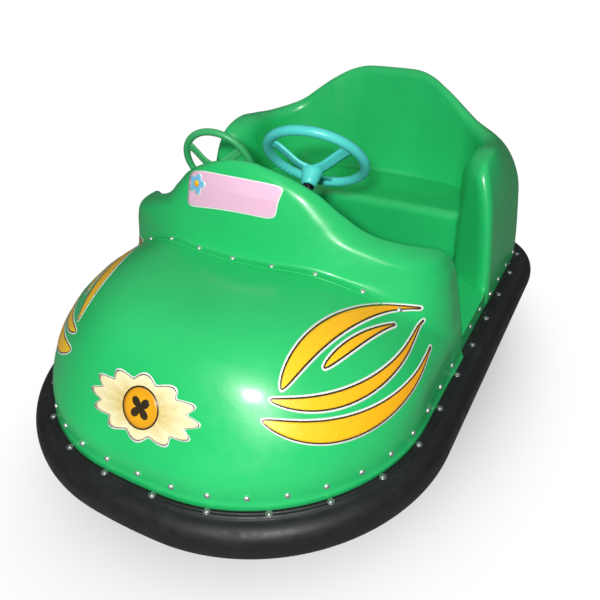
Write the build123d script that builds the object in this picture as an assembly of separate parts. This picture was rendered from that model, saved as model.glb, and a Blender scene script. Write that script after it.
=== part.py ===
"""Two-seat battery bumper car: glass-fibre body, rubber bumper ring, steel chassis,
one steered and driven front wheel, two fixed rear wheels, two steering wheels.

Frame: millimetres, +X the car's left, nose towards -Y, +Z up, floor at z = 0 and
the origin below the centre of the bumper ring.
"""
from build123d import *
import os
from math import asin, atan2, cos, hypot, radians, sin, sqrt

# ---- driving dimensions -------------------------------------------------------------
LENGTH = 1644.0              # over the rubber bumper
WIDTH = 1154.0
BULGE = 17.0                 # the rubber bulges this far outside the reference outline
WALL = 6.0                   # glass-fibre moulding
SHEET = 6.0                  # steel plate of the brackets
TUBE = 40.0                  # square tube of the chassis
FIT = 0.3                    # gap between a fixed skin and the part let into it
CLEAR = 8.0                  # gap between a moving part and its neighbours

RUBBER_BOTTOM, RUBBER_TOP = 128.0, 238.0
FRAME_TOP = 190.0            # top of hoop, rails and cross beams
LEDGE_TOP = 295.0            # ledge that carries nose, cowl and tub
SKIN = 47.0                  # inset of the body's lower edge from the reference outline
HOOP_INSET = 62.0

FRONT_WHEEL_R, REAR_WHEEL_R = 100.0, 80.0
TYRE_W = 50.0
FRONT_OVERHANG, REAR_OVERHANG = 372.0, 322.0
KINGPIN_Y, REAR_AXLE_Y = FRONT_OVERHANG - LENGTH / 2, LENGTH / 2 - REAR_OVERHANG
BRACKET_GAP = 16.0           # between a rear wheel's bracket and the hoop

HOOD_LENGTH, TUB_LENGTH = 792.0, 542.0      # bumper to doorway, at the nose and at the tail
DOOR_FRONT, DOOR_BACK = HOOD_LENGTH - LENGTH / 2, LENGTH / 2 - TUB_LENGTH
WELL_HALF_WIDTH = 355.0                    # foot well and cockpit between the arms
TOE_Y = DOOR_FRONT - 225.0                 # toe board of the foot well
SEAT_DEPTH, SEAT_TOP = 230.0, 468.0
SEAT_BACK = LENGTH / 2 - 220.0
SEAT_FRONT = SEAT_BACK - SEAT_DEPTH
BACKREST_TOP, ARM_TOP = 806.0, 688.0

# ---- reference outline: tangent arcs and straight sides, offset by an inset ------------
HALF_W = WIDTH / 2 - BULGE
TIP = LENGTH / 2 - BULGE
NOSE_R, FRONT_CORNER_R = 2.82 * HALF_W, 0.88 * HALF_W
TAIL_R, REAR_CORNER_R = 7.1 * HALF_W, 0.393 * HALF_W
TAIL_HALF_W = 0.95 * HALF_W


def outline_centres():
    """Centres of the nose, front corner, rear corner and tail arcs, and the angle of
    the outward normal of the straight side that touches both corner arcs."""
    front_x = HALF_W - FRONT_CORNER_R
    nose_y = NOSE_R - TIP
    front_y = nose_y - sqrt((NOSE_R - FRONT_CORNER_R) ** 2 - front_x ** 2)
    rear_x = TAIL_HALF_W - REAR_CORNER_R
    tail_y = TIP - TAIL_R
    rear_y = tail_y + sqrt((TAIL_R - REAR_CORNER_R) ** 2 - rear_x ** 2)
    dx, dy = rear_x - front_x, rear_y - front_y
    side = asin((FRONT_CORNER_R - REAR_CORNER_R) / hypot(dx, dy)) - atan2(dx, dy)
    return nose_y, (front_x, front_y), (rear_x, rear_y), tail_y, side


NOSE_Y, FRONT_C, REAR_C, TAIL_Y, SIDE = outline_centres()


def polar(centre, radius, angle):
    return (centre[0] + radius * cos(angle), centre[1] + radius * sin(angle))


def arc(centre, radius, start, end):
    """Arc about a centre from one angle to another (radians)."""
    middle = (start + end) / 2
    return ThreePointArc(*(polar(centre, radius, a) for a in (start, middle, end)))


def mirrored(centre):
    return (-centre[0], centre[1])


PI = 3.141592653589793
NOSE_ANGLE = atan2(FRONT_C[1] - NOSE_Y, FRONT_C[0])
TAIL_ANGLE = atan2(REAR_C[1] - TAIL_Y, REAR_C[0])


def outline_edges(inset):
    """The closed reference outline, moved inwards by an inset."""
    front_r, rear_r = FRONT_CORNER_R - inset, REAR_CORNER_R - inset
    side = (polar(FRONT_C, front_r, SIDE), polar(REAR_C, rear_r, SIDE))
    return [
        arc((0, NOSE_Y), NOSE_R - inset, -PI - NOSE_ANGLE, NOSE_ANGLE),
        arc(FRONT_C, front_r, NOSE_ANGLE, SIDE),
        Line(*side),
        arc(REAR_C, rear_r, SIDE, TAIL_ANGLE),
        arc((0, TAIL_Y), TAIL_R - inset, TAIL_ANGLE, PI - TAIL_ANGLE),
        arc(mirrored(REAR_C), rear_r, PI - TAIL_ANGLE, PI - SIDE),
        Line(mirrored(side[1]), mirrored(side[0])),
        arc(mirrored(FRONT_C), front_r, -PI - SIDE, -PI - NOSE_ANGLE),
    ]


def slab(edges, z0, z1):
    """Prism between two heights over a closed row of edges in plan."""
    face = make_face(Wire(edges))
    return extrude(Pos(0, 0, z0) * face, z1 - z0, dir=(0, 0, 1))


def outline_slab(inset, z0, z1):
    return slab(outline_edges(inset), z0, z1)


def outline_ring(outer, inner, z0, z1):
    return outline_slab(outer, z0, z1) - outline_slab(inner, z0, z1)


def block(x0, x1, y0, y1, z0, z1):
    """Box between six planes."""
    centre = ((x0 + x1) / 2, (y0 + y1) / 2, (z0 + z1) / 2)
    return Pos(*centre) * Box(x1 - x0, y1 - y0, z1 - z0)


def rounded_block(x0, x1, y0, y1, z0, z1, radius):
    """Box with rounded upright edges."""
    face = Pos((x0 + x1) / 2, (y0 + y1) / 2, z0) * RectangleRounded(x1 - x0, y1 - y0, radius)
    return extrude(face, z1 - z0, dir=(0, 0, 1))


def side_prism(points, x0, x1, rounds=None):
    """Prism across the car over a polygon in (y, z), with chosen corners rounded."""
    wire = Wire.make_polygon([(0, y, z) for y, z in points])
    for index, radius in (rounds or {}).items():
        y, z = points[index]
        corner = [v for v in wire.vertices() if hypot(v.Y - y, v.Z - z) < 0.01]
        wire = wire.fillet_2d(radius, corner)
    return extrude(Pos(x0, 0, 0) * Face(wire), x1 - x0, dir=(1, 0, 0))


def front_prism(points, y0, y1, rounds=None):
    """Prism along the car over a polygon in (x, z), with chosen corners rounded."""
    wire = Wire.make_polygon([(x, 0, z) for x, z in points])
    for index, radius in (rounds or {}).items():
        x, z = points[index]
        corner = [v for v in wire.vertices() if hypot(v.X - x, v.Z - z) < 0.01]
        wire = wire.fillet_2d(radius, corner)
    return extrude(Pos(0, y0, 0) * Face(wire), y1 - y0, dir=(0, 1, 0))


def rod(start, direction, length, radius):
    """Cylinder from a point along a unit direction."""
    plane = Plane(origin=start, z_dir=direction)
    return extrude(plane * Circle(radius), length)


def along(start, direction, distance):
    return tuple(s + distance * d for s, d in zip(start, direction))


NODES = {}


def keep(name, shape):
    """Note a finished solid under its node name."""
    NODES[name] = shape


# ---- chassis ------------------------------------------------------------------------
FRAME_BOTTOM = FRAME_TOP - TUBE
HOOP_T, HOOP_H = 30.0, 50.0
RAIL_X = 205.0
RUN = HOOP_INSET + HOOP_T                 # rails and beams end inside the hoop
BEAM_YS = {"toe": TOE_Y + 30.0, "seat": REAR_AXLE_Y - 120.0, "rear": REAR_AXLE_Y + 120.0}


def chassis():
    inside = outline_slab(RUN, FRAME_BOTTOM, FRAME_TOP)
    hoop = outline_ring(HOOP_INSET, RUN, FRAME_TOP - HOOP_H, FRAME_TOP)
    front, back = FRONT_C[1], REAR_C[1]
    for name, x0, x1, y0, y1 in (("nose", -WIDTH, WIDTH, -LENGTH, front), ("left", 0, WIDTH, front, back),
                                 ("right", -WIDTH, 0, front, back), ("tail", -WIDTH, WIDTH, back, LENGTH)):
        keep(f"chassis_hoop_{name}", hoop & block(x0, x1, y0, y1, 0, LENGTH))
    half = TUBE / 2
    beams = []
    for name, y in BEAM_YS.items():
        beam = block(-WIDTH, WIDTH, y - half, y + half, FRAME_BOTTOM, FRAME_TOP) & inside
        beams.append(beam)
        keep(f"cross_beam_{name}", beam)
    for name, x in (("left", RAIL_X), ("right", -RAIL_X)):
        rail = block(x - half, x + half, -LENGTH, LENGTH, FRAME_BOTTOM, FRAME_TOP) & inside
        for number, beam in enumerate(beams):
            rail -= beam
        pieces = sorted(rail.solids(), key=lambda s: s.center().Y)
        keep(f"chassis_rail_{name}", pieces)


# ---- rubber bumper ring ----------------------------------------------------------------
def bumper_ring():
    """Section swept round the outline: flat top with two ribs, bulging outer face."""
    start = (0, NOSE_Y - NOSE_R)
    tuck, shoulder, slope = 28.0, 24.0, 8.0
    low, top = RUBBER_BOTTOM, RUBBER_TOP
    widest = (low + top) / 2 - 3
    inner = -HOOP_INSET

    def spot(out, z):
        return (0, start[1] - out, z)

    bulge = ThreePointArc(spot(-shoulder, top - slope), spot(BULGE, widest), spot(-tuck, low))
    edges = [
        Line(spot(inner, low + slope), spot(inner, top)),
        Line(spot(inner, top), spot(-SKIN, top)),
        Line(spot(-SKIN, top), spot(-shoulder, top - slope)),
        bulge,
        Line(spot(-tuck, low), spot(inner, low + slope)),
    ]
    path = Wire(outline_edges(0))
    ring = sweep(Face(Wire(edges)), path=path, transition=Transition.RIGHT)
    keep("bumper_ring", ring)


# ---- body: base tray ---------------------------------------------------------------------
LIP = WALL                                 # nose and tub overlap the rim's skirt
TRAY_SKIRT = SKIN + LIP + FIT
DRIVE_OPENING = 330.0                      # half width of the opening over the drive
WELL_FLOOR = FRAME_TOP + WALL


def well_slab(inset, z0, z1):
    half = WELL_HALF_WIDTH - inset
    return rounded_block(-half, half, TOE_Y + inset, SEAT_FRONT - inset, z0, z1, 60.0 - inset)


def base_rim():
    """Skirt and ledge that carry the body, open over the drive, well and battery."""
    skirt = outline_ring(TRAY_SKIRT, TRAY_SKIRT + WALL, RUBBER_TOP, LEDGE_TOP)
    ledge = outline_slab(TRAY_SKIRT, LEDGE_TOP - WALL, LEDGE_TOP)
    drive = rounded_block(-DRIVE_OPENING, DRIVE_OPENING, KINGPIN_Y - 230, TOE_Y - 20, 0, LEDGE_TOP, 120)
    hold_half, hold_back = WELL_HALF_WIDTH - 20.0, SEAT_BACK - 42.0     # the tub's inner wall stands beside it
    hold = rounded_block(-hold_half, hold_half, SEAT_FRONT + 10, hold_back, 0, LEDGE_TOP, 40)
    keep("base_rim", skirt + ledge - well_slab(0, 0, LEDGE_TOP) - drive - hold)


def foot_well():
    keep("foot_well", well_slab(0, FRAME_TOP, LEDGE_TOP) - well_slab(WALL, WELL_FLOOR, LEDGE_TOP))


# ---- body: nose and cowl ---------------------------------------------------------------
def hood_face(z, half_width, front_y, corner_r, nose_r, back_y):
    """Level section: nose arc, two corner arcs, two straight sides, straight back."""
    corner_x = half_width - corner_r
    centre_y = front_y + nose_r
    corner_y = centre_y - sqrt((nose_r - corner_r) ** 2 - corner_x ** 2)
    corner = (corner_x, corner_y)
    angle = atan2(corner_y - centre_y, corner_x)
    taper = (back_y - corner_y) * sin(SIDE)
    front = (half_width, corner_y)
    back = (half_width - taper, back_y)
    edges = [
        arc((0, centre_y), nose_r, -PI - angle, angle),
        arc(corner, corner_r, angle, 0.0),
        Line(front, back),
        Line(back, mirrored(back)),
        Line(mirrored(back), mirrored(front)),
        arc(mirrored(corner), corner_r, -PI, -PI - angle),
    ]
    return Pos(0, 0, z) * make_face(Wire(edges))


def hood(levels, upright, inset, back_y):
    """Body over level sections, shrunk all round and lowered by an inset: straight
    between the sections up to number `upright`, smooth above it."""
    faces = []
    for number, (z, half_width, front_y, corner_r, nose_r) in enumerate(levels):
        drop = inset if number else 10.0 * inset
        faces.append(hood_face(z - drop, half_width - inset, front_y + inset,
                               corner_r - inset, nose_r - inset, back_y))
    return loft(faces[:upright + 1], ruled=True) + loft(faces[upright:])


# columns: height, inset of the side, setback of the front, corner and front radius as
# shares of the section's half width
NOSE_LEVELS = [
    (LEDGE_TOP, 49.0, 53.0, 0.86, 2.90),
    (360.0, 56.0, 88.0, 0.84, 2.68),
    (430.0, 101.0, 122.0, 0.87, 2.50),
    (485.0, 163.0, 155.0, 0.88, 2.40),
    (530.0, 232.0, 200.0, 0.90, 2.44),
    (558.0, 298.0, 262.0, 0.89, 2.48),
    (574.0, 363.0, 345.0, 0.86, 2.64),
]
# the cowl's setback counts from its foot line
COWL_LEVELS = [
    (RUBBER_TOP + 12.0, 55.0, 0.0, 0.26, 1.60),
    (480.0, 77.0, 12.0, 0.26, 1.66),
    (545.0, 89.0, 17.0, 0.26, 1.70),
    (583.0, 116.0, 22.0, 0.27, 1.80),
    (606.0, 170.0, 27.0, 0.29, 2.00),
    (640.0, 250.0, 33.0, 0.33, 2.30),
    (690.0, 311.0, 42.0, 0.36, 2.50),
    (740.0, 366.0, 52.0, 0.39, 2.80),
    (775.0, 430.0, 64.0, 0.44, 3.60),
    (794.0, 485.0, 75.0, 0.48, 4.60),
]
COWL_FOOT = DOOR_FRONT - 281.0


def hood_sections(levels, foot):
    """Levels with their insets and shares turned into lengths."""
    return [(z, HALF_W - side, foot + back, corner * (HALF_W - side), front * (HALF_W - side))
            for z, side, back, corner, front in levels]


NOSE = [(RUBBER_TOP, HALF_W - SKIN, SKIN - TIP, FRONT_CORNER_R - SKIN, NOSE_R - SKIN)]
NOSE += hood_sections(NOSE_LEVELS, -TIP)
COWL = hood_sections(COWL_LEVELS, COWL_FOOT)
NOSE_UPRIGHT, COWL_UPRIGHT = 1, 3          # number of the section that ends the upright wall
# rear edge of the cowl in side view, from the crest down to the door sill: y, z
COWL_EDGE = [(DOOR_FRONT + y, z) for y, z in (
    (-198.0, 830.0), (-198.0, 779.0), (-173.0, 719.0), (-126.0, 629.0), (-70.0, 599.0),
    (-3.0, 515.0), (26.0, 0.0))]


def cowl_edge():
    """Side view of everything ahead of the cowl's rear edge."""
    far = -LENGTH
    outline = [(far, 0.0), (far, 830.0)] + COWL_EDGE
    return side_prism(outline, -WIDTH, WIDTH, {3: 40.0, 5: 60.0, 6: 40.0, 7: 50.0})


def front_body():
    nose_outer = hood(NOSE, NOSE_UPRIGHT, 0.0, DOOR_FRONT)
    nose_inner = hood(NOSE, NOSE_UPRIGHT, WALL, DOOR_FRONT + 50.0)
    cowl_outer = hood(COWL, COWL_UPRIGHT, 0.0, DOOR_FRONT + 29.0) & cowl_edge()
    cowl_inner = hood(COWL, COWL_UPRIGHT, WALL, DOOR_FRONT + 50.0)
    over_rim = outline_slab(TRAY_SKIRT - FIT, 0, LEDGE_TOP + FIT)
    nose = nose_outer - nose_inner - cowl_inner - over_rim
    keep("nose_shell", max(nose.solids(), key=lambda s: s.volume))
    cowl = cowl_outer - cowl_inner - nose_outer - over_rim
    keep("cowl_shell", max(cowl.solids(), key=lambda s: s.volume))


# ---- body: rear tub and bench ------------------------------------------------------------
# columns: height, inset from the reference outline
TUB_LEVELS = [(LEDGE_TOP, SKIN), (450.0, 60.0), (620.0, 82.0), (830.0, 108.0)]


def cavity_size(z):
    """Half width, back and corner radius of the seat space at a height: its back leans and
    its corners grow rounder upwards."""
    rise = z - SEAT_TOP
    return WELL_HALF_WIDTH + rise * 0.05, SEAT_BACK + rise * 0.19, 110.0 + rise * 0.4


def cavity_face(z, inset):
    """Level section of the seat space."""
    half, back, radius = (size - inset for size in cavity_size(z))
    front = DOOR_BACK - 60.0
    corner = (half - radius, back - radius)
    edges = [
        Line((-half, front), (half, front)),
        Line((half, front), (half, corner[1])),
        arc(corner, radius, 0.0, PI / 2),
        Line((corner[0], back), (-corner[0], back)),
        arc(mirrored(corner), radius, PI / 2, PI),
        Line((-half, corner[1]), (-half, front)),
    ]
    return Pos(0, 0, z) * make_face(Wire(edges))


def to_circle(origin, heading, centre, radius):
    """Distance along a ray in plan to the far side of a circle."""
    dx, dy = origin[0] - centre[0], origin[1] - centre[1]
    b = dx * heading[0] + dy * heading[1]
    return -b + sqrt(max(b * b - dx * dx - dy * dy + radius * radius, 0.0))


def to_outside(origin, heading, inset):
    """Distance along a ray in plan to the rear outline, moved inwards by an inset."""
    radius = REAR_CORNER_R - inset
    normal = (cos(SIDE), sin(SIDE))
    dx, dy = origin[0] - REAR_C[0], origin[1] - REAR_C[1]
    reach = to_circle(origin, heading, REAR_C, radius)
    angle = atan2(dy + reach * heading[1], dx + reach * heading[0])
    if angle < SIDE:
        slope = normal[0] * heading[0] + normal[1] * heading[1]
        return (radius - dx * normal[0] - dy * normal[1]) / slope
    if angle > TAIL_ANGLE:
        return to_circle(origin, heading, (0, TAIL_Y), TAIL_R - inset)
    return reach


def to_cavity(origin, heading, z):
    """Distance along a ray in plan to the wall of the seat space at a height."""
    half, back, radius = cavity_size(z)
    reach = min((size - start) / step for size, start, step in
                zip((half, back), origin, heading) if step > 0.001)
    x, y = (start + reach * step for start, step in zip(origin, heading))
    if x > half - radius and y > back - radius:
        reach = to_circle(origin, heading, (half - radius, back - radius), radius)
    return reach


def wall_inset(z):
    """Inset of the tub's outer wall at a height."""
    for (z0, inset0), (z1, inset1) in zip(TUB_LEVELS, TUB_LEVELS[1:]):
        if z <= z1:
            break
    return inset0 + (z - z0) * (inset1 - inset0) / (z1 - z0)


# upright sections of the tub's left half, from the arm's front round the corner to the
# middle of the back; columns: x and y of the section's origin, its turn from the car's
# left in degrees, the crest's distance from the origin and its height, how full the outer
# shoulder is (0.5 is a straight slope) and how deep the outer and inner shoulders are
TURN_X, TURN_Y = 200.0, SEAT_BACK - 152.0
TUB_STATIONS = [
    (TURN_X, DOOR_BACK, 0.0, 224.0, ARM_TOP, 0.75, 188.0, 50.0),
    (TURN_X, DOOR_BACK + 90.0, 0.0, 224.0, ARM_TOP, 0.75, 188.0, 50.0),
    (TURN_X, TURN_Y, 0.0, 217.0, ARM_TOP - 2, 0.73, 190.0, 45.0),
    (TURN_X, TURN_Y, 30.0, 195.0, ARM_TOP - 11, 0.64, 203.0, 33.0),
    (TURN_X, TURN_Y, 60.0, 177.0, ARM_TOP + 4, 0.61, 196.0, 28.0),
    (TURN_X, TURN_Y, 90.0, 185.0, BACKREST_TOP - 51, 0.65, 150.0, 24.0),
    (TURN_X / 2, TURN_Y, 90.0, 218.0, BACKREST_TOP - 3, 0.70, 100.0, 24.0),
    (0.0, TURN_Y, 90.0, 222.0, BACKREST_TOP, 0.71, 98.0, 24.0),
]


def tub_section(station, side, wall, foot):
    """Upright section through the tub's wall, every surface moved in by `wall`: outer wall,
    two arcs that meet at the crest, inner wall and a level foot."""
    x, y, turn, crest, top, full, outer_depth, inner_depth = station
    heading = (cos(radians(turn)), sin(radians(turn)))
    top -= wall
    low_out, low_in = top - outer_depth, top - inner_depth
    inner_limit = crest - 14.0

    def out(z):
        return to_outside((x, y), heading, wall_inset(z)) - wall

    def within(z):
        return min(to_cavity((x, y), heading, z) + 2.0, inner_limit - 0.1 * (top - z)) + wall

    half = 0.71
    spots = [
        (out(foot), foot), (out(low_out), low_out),
        (crest + (out(low_out + full * outer_depth) - crest) * full, low_out + full * outer_depth),
        (crest, top),
        (crest + (within(low_in) - crest) * half, low_in + half * inner_depth),
        (within(low_in), low_in), (within(foot), foot),
    ]
    p = [(side * (x + d * heading[0]), y + d * heading[1], z) for d, z in spots]
    return Face(Wire([Line(p[0], p[1]), ThreePointArc(p[1], p[2], p[3]),
                      ThreePointArc(p[3], p[4], p[5]), Line(p[5], p[6]), Line(p[6], p[0])]))


def tub_body(wall, foot):
    """Smooth body through the sections of both halves, its arms' fronts rounded off."""
    left = [tub_section(s, 1, wall, foot) for s in TUB_STATIONS]
    right = [tub_section(s, -1, wall, foot) for s in TUB_STATIONS[:-1]]
    body = loft(left + right[::-1])
    front, top = DOOR_BACK + 8.0 + wall, ARM_TOP + 20.0 - wall
    arms = side_prism([(front, 0.0), (front + 8.0, top), (TURN_Y, top), (SEAT_BACK, 1200.0),
                       (LENGTH, 1200.0), (LENGTH, 0.0)], -WIDTH, WIDTH, {1: 85.0 - wall})
    return body & arms


def rear_body():
    lip = (outline_ring(SKIN + 0.5, SKIN + LIP, RUBBER_TOP, LEDGE_TOP)
           & block(-WIDTH, WIDTH, DOOR_BACK + 9, LENGTH, 0, 900))
    tub = tub_body(0.0, LEDGE_TOP) - tub_body(WALL, LEDGE_TOP - 10.0) + lip
    keep("rear_tub", tub)
    seat = loft([cavity_face(z, FIT) for z in (LEDGE_TOP, SEAT_TOP)], ruled=True)
    space = loft([cavity_face(z, WALL + FIT) for z in (LEDGE_TOP - 1, SEAT_TOP - WALL)], ruled=True)
    bench = (seat & block(-WIDTH, WIDTH, SEAT_FRONT, LENGTH, 0, 900)) - (
        space & block(-WIDTH, WIDTH, SEAT_FRONT + WALL, LENGTH, 0, 900)) - tub
    keep("bench_seat", max(bench.solids(), key=lambda s: s.volume))


# ---- running gear ---------------------------------------------------------------------------
AXLE_R, AXLE_END = 10.0, 8.0                # end: how far an axle stands out of its bracket
RUNNING = 0.05                             # radial clearance of shafts in their bores


def wheel(name, centre, radius):
    """Hub and tyre about an axle along X."""
    x, y, z = centre
    rim_r = 0.62 * radius
    half = TYRE_W / 2
    left = Plane(origin=(x - half, y, z), z_dir=(1, 0, 0))
    hub = extrude(left * Circle(rim_r), TYRE_W)
    hub -= extrude(left * Circle(AXLE_R + RUNNING), TYRE_W)
    hollow = extrude(left * Circle(rim_r - 8), 14.0) - extrude(left * Circle(AXLE_R + 12), 14.0)
    hub = hub - hollow - Pos(TYRE_W - 14.0, 0, 0) * hollow
    keep(f"{name}_hub", hub)
    crown = 0.8 * half
    section = Plane(origin=(x, y, z), x_dir=(1, 0, 0), z_dir=(0, -1, 0))
    edges = [
        Line((-half, rim_r), (half, rim_r)),
        Line((half, rim_r), (half, radius - 12)),
        ThreePointArc((half, radius - 12), (crown, radius - 3), (0.5 * half, radius)),
        Line((0.5 * half, radius), (-0.5 * half, radius)),
        ThreePointArc((-0.5 * half, radius), (-crown, radius - 3), (-half, radius - 12)),
        Line((-half, radius - 12), (-half, rim_r)),
    ]
    profile = section * make_face(Wire(edges))
    keep(f"{name}_tyre", revolve(profile, Axis((x, y, z), (1, 0, 0))))


FORK_GAP = TYRE_W / 2 + CLEAR
KINGPIN_R = 15.0
FORK_TOP = 2 * FRONT_WHEEL_R + CLEAR + SHEET
BRIDGE_Z = FORK_TOP + CLEAR + 55.0
MOTOR_R = 46.0


def front_drive():
    y, z = KINGPIN_Y, FRONT_WHEEL_R
    half_plate = 45.0
    cheek = FORK_GAP + SHEET
    crown = block(-cheek, cheek, y - half_plate, y + half_plate, FORK_TOP - SHEET, FORK_TOP)
    fork = crown
    for x0, x1 in ((FORK_GAP, cheek), (-cheek, -FORK_GAP)):
        fork += block(x0, x1, y - half_plate, y + half_plate, z - 20, FORK_TOP)
    fork += rod((0, y, FORK_TOP), (0, 0, 1), BRIDGE_Z + SHEET + 60 - FORK_TOP, KINGPIN_R)
    fork -= rod((-cheek, y, z), (1, 0, 0), 2 * cheek, AXLE_R)
    keep("front_fork", fork)
    keep("front_axle", rod((-cheek - AXLE_END, y, z), (1, 0, 0), 2 * (cheek + AXLE_END), AXLE_R))
    wheel("front_wheel", (0, y, z), FRONT_WHEEL_R)
    # drive motor outside one cheek, chain case outside the other
    motor_z = FORK_TOP - MOTOR_R - 4
    motor = rod((cheek, y, motor_z), (1, 0, 0), 105.0, MOTOR_R)
    motor -= rod((cheek, y, z), (1, 0, 0), AXLE_END + 1, AXLE_R + 2)
    keep("drive_motor", motor)
    case = block(-cheek - 26, -cheek, y - 34, y + 34, z - 30, FORK_TOP - 4)
    case -= rod((-cheek - AXLE_END - 1, y, z), (1, 0, 0), AXLE_END + 2, AXLE_R + 1)
    keep("chain_case", case)
    # bridge over the drive, on the rails
    leg_y = 50.0
    outer_x = RAIL_X + TUBE / 2
    bridge = block(-outer_x, outer_x, y - leg_y, y + leg_y, BRIDGE_Z, BRIDGE_Z + SHEET)
    for sign in (1, -1):
        x0, x1 = sorted((sign * (RAIL_X - 12), sign * (RAIL_X + 12)))
        bridge += block(x0, x1, y - leg_y, y + leg_y, FRAME_TOP, BRIDGE_Z)
    bridge -= rod((0, y, BRIDGE_Z - 1), (0, 0, 1), SHEET + 2, KINGPIN_R + 2)
    keep("front_bridge", bridge)
    base = BRIDGE_Z + SHEET
    housing = block(-48, 48, y - 45, y + 45, base, base + 75)
    housing -= rod((0, y, base), (0, 0, 1), 68, KINGPIN_R + RUNNING)
    keep("kingpin_housing", housing)
    gearbox = block(48, RAIL_X + 5, y - 45, y + 45, base, base + 120)
    gearbox -= rod(along(DRIVER_C, DRIVER_N, -DRIVER_COLUMN), DRIVER_N, 400, COLUMN_R + RUNNING)
    keep("steering_gearbox", gearbox)


def rear_wheels():
    y, z = REAR_AXLE_Y, REAR_WHEEL_R
    cheek = FORK_GAP + SHEET
    track_half = TAIL_HALF_W - RUN - BRACKET_GAP - cheek - AXLE_END
    for name, x in (("left", track_half), ("right", -track_half)):
        beam = BEAM_YS["rear"] - REAR_AXLE_Y
        bracket = block(x - cheek, x + cheek, y - beam, y + beam, FRAME_TOP, FRAME_TOP + SHEET)
        for x0 in (x - cheek, x + FORK_GAP):
            bracket += block(x0, x0 + SHEET, y - 40, y + 40, z - 20, FRAME_TOP)
        bracket -= rod((x - cheek, y, z), (1, 0, 0), 2 * cheek, AXLE_R)
        keep(f"rear_bracket_{name}", bracket)
        keep(f"rear_axle_{name}", rod((x - cheek - AXLE_END, y, z), (1, 0, 0), 2 * (cheek + AXLE_END), AXLE_R))
        wheel(f"rear_wheel_{name}", (x, y, z), REAR_WHEEL_R)


# ---- steering wheels -----------------------------------------------------------------------
COLUMN_R = 11.0
DRIVER_C, PASSENGER_C = (69.0, DOOR_FRONT + 37.0, 737.0), (-248.0, DOOR_FRONT + 34.0, 680.0)
YAW = radians(-8.0)


def axis_direction(elevation):
    """Unit vector up the steering column towards its wheel."""
    lift = radians(elevation)
    return (sin(YAW) * cos(lift), cos(YAW) * cos(lift), sin(lift))


DRIVER_N, PASSENGER_N = axis_direction(40.0), axis_direction(17.0)
DRIVER_WHEEL_R, PASSENGER_WHEEL_R = 144.0, 110.0
BAR_Y, BAR_Z, BAR_R = DOOR_FRONT - 170.0, 515.0, 17.0
# the driver's column ends in the gearbox over the kingpin, the passenger's behind the bar
DRIVER_COLUMN = (DRIVER_C[1] - KINGPIN_Y) / DRIVER_N[1]
PASSENGER_COLUMN = (PASSENGER_C[1] - BAR_Y) / PASSENGER_N[1] + 36.0


def steering(name, centre, normal, wheel_r, column_length):
    """Rim, spider of three dished spokes with a conical hub, column and its bearing."""
    tube = 0.09 * wheel_r
    dish = 0.26 * wheel_r                  # the hub lies this far below the rim's plane
    plane = Plane(origin=centre, x_dir=(cos(YAW), -sin(YAW), 0), z_dir=normal)
    rim = plane * Torus(wheel_r - tube, tube)
    hub = plane * Pos(0, 0, -dish) * Cylinder(0.19 * wheel_r, 10.0)
    boss = plane * Pos(0, 0, -dish - 30.0) * Cone(0.11 * wheel_r + 2, 0.19 * wheel_r, 50.0)
    spider = hub + boss
    reach = wheel_r - tube
    drop_angle = atan2(dish, reach)
    for turn in (90.0, 210.0, 330.0):
        arm = Box(hypot(reach, dish) - 0.05 * wheel_r, 0.2 * wheel_r, 7.0,
                  align=(Align.MIN, Align.CENTER, Align.CENTER))
        arm = Pos(0, 0, -dish) * Rot(0, -drop_angle * 180 / PI, 0) * arm
        spider += plane * Rot(0, 0, turn) * arm
    column_start = along(centre, normal, -column_length)
    column = rod(column_start, normal, column_length - dish - 10.0, COLUMN_R)
    spider = spider - rim - column
    keep(f"{name}_rim", rim)
    keep(f"{name}_spider", spider)
    keep(f"{name}_column", column)
    # bearing sleeve on a web from the cross bar
    travel = (centre[1] - BAR_Y) / normal[1]
    x, _, z = along(centre, normal, -travel)
    sleeve = rod(along(centre, normal, -travel - 30), normal, 60.0, COLUMN_R + 9)
    web = block(x - 5, x + 5, BAR_Y - 14, BAR_Y + 14, BAR_Z, z - COLUMN_R)
    bearing = sleeve + web
    bearing -= rod(along(centre, normal, -travel - 60), normal, 120, COLUMN_R + RUNNING)
    bearing -= rod((-WIDTH, BAR_Y, BAR_Z), (1, 0, 0), 2 * WIDTH, BAR_R)
    keep(f"{name}_bearing", bearing)


def steering_bar():
    bar = rod((-HALF_W, BAR_Y, BAR_Z), (1, 0, 0), 2 * HALF_W, BAR_R)
    keep("steering_bar", bar & hood(COWL, COWL_UPRIGHT, WALL + FIT, DOOR_FRONT))


# ---- battery and pedal ----------------------------------------------------------------------
def battery():
    y0, y1 = SEAT_FRONT + 18.0, SEAT_BACK - 52.0
    tray_half = RAIL_X + TUBE / 2
    keep("battery_tray", block(-tray_half, tray_half, SEAT_FRONT + FIT,
                               BEAM_YS["rear"] + TUBE / 2, FRAME_TOP, FRAME_TOP + SHEET))
    keep("battery", block(-170, 170, y0, y1, FRAME_TOP + SHEET, SEAT_TOP - WALL - 40))


def pedal():
    """Hanging accelerator pedal: foot on the toe board, arm and tilted pad."""
    x, y, z = DRIVER_C[0] + 60.0, TOE_Y + WALL, WELL_FLOOR
    foot = block(x - 25, x + 25, y, y + 10, z + 50, z + 90)
    arm = block(x - 8, x + 8, y + 10, y + 62, z + 60, z + 76)
    pad = Pos(x, y + 62, z + 68) * Rot(-60, 0, 0) * Box(60, 96, 10)
    keep("pedal", foot + arm + pad)


def build():
    chassis()
    bumper_ring()
    base_rim()
    foot_well()
    front_body()
    rear_body()
    front_drive()
    rear_wheels()
    steering("driver", DRIVER_C, DRIVER_N, DRIVER_WHEEL_R, DRIVER_COLUMN)
    steering("passenger", PASSENGER_C, PASSENGER_N, PASSENGER_WHEEL_R, PASSENGER_COLUMN)
    steering_bar()
    battery()
    pedal()


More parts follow.
